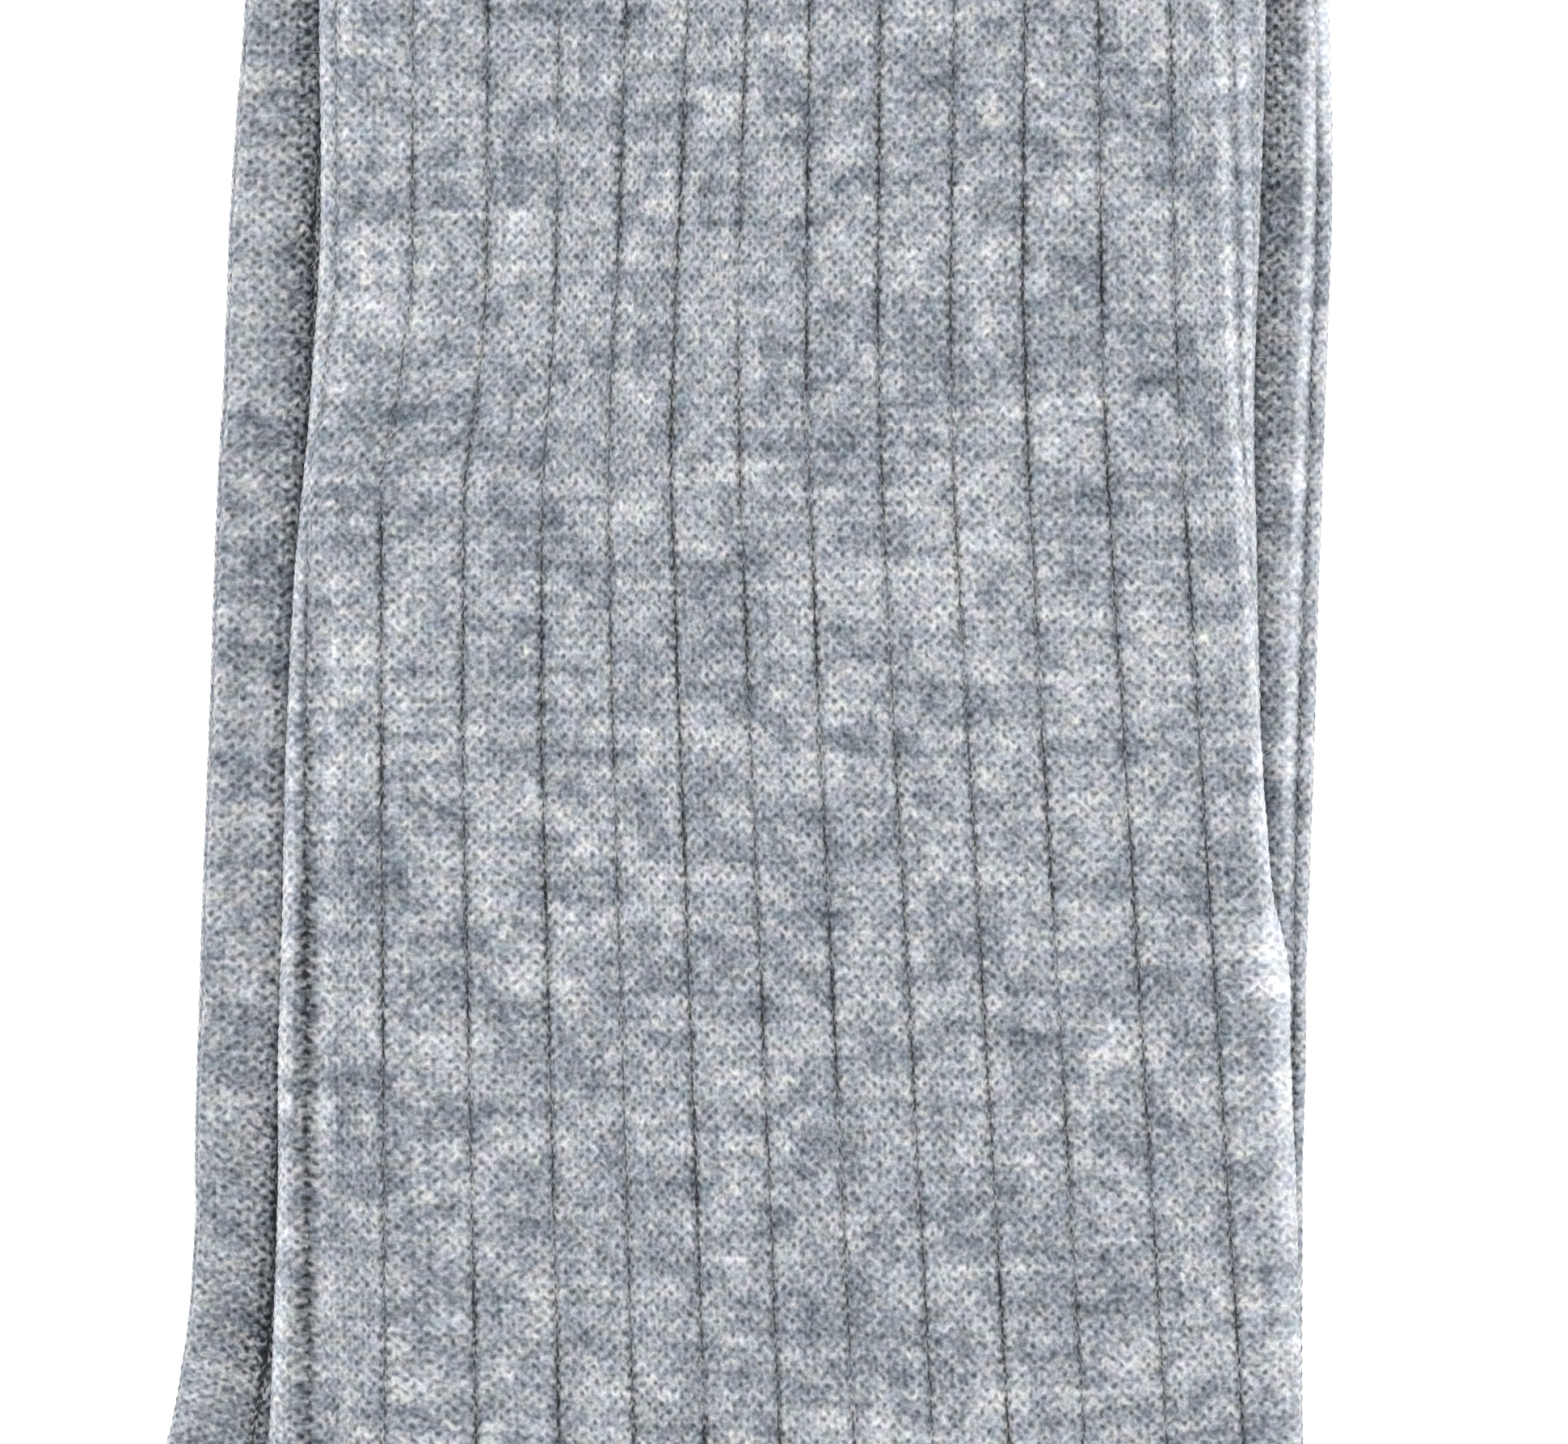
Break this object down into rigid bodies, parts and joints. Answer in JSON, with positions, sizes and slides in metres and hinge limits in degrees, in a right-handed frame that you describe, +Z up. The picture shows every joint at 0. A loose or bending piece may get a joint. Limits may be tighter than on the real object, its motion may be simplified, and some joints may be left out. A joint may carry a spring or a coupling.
{
  "type": "pair of wool socks",
  "caption": "Pair of rib-knit wool socks laid flat in profile, one on the other, each a flattened tube with an open cuff, a heel pocket, a ribbed instep and a rounded toe.",
  "frame": {"origin": "centre of the pair's outline, on the surface that it lies on", "axes": "+Y up the legs to the cuffs, +X towards the heels with the toes towards -X, +Z up from the surface"},
  "size_m": [0.226, 0.4195, 0.0083],
  "materials": {
    "rib_knit": "matt heather-grey wool, five plain wales and one purl wale to a rib",
    "plain_knit": "matt heather-grey wool, plain knit"
  },
  "bodies": {
    "root": {"lower_sock_leg": "rib_knit", "lower_sock_heel": "plain_knit", "lower_sock_foot": "rib_knit", "lower_sock_toe": "plain_knit", "upper_sock_leg": "rib_knit", "upper_sock_heel": "plain_knit", "upper_sock_foot": "rib_knit", "upper_sock_toe": "plain_knit"}
  },
  "joints": []
}
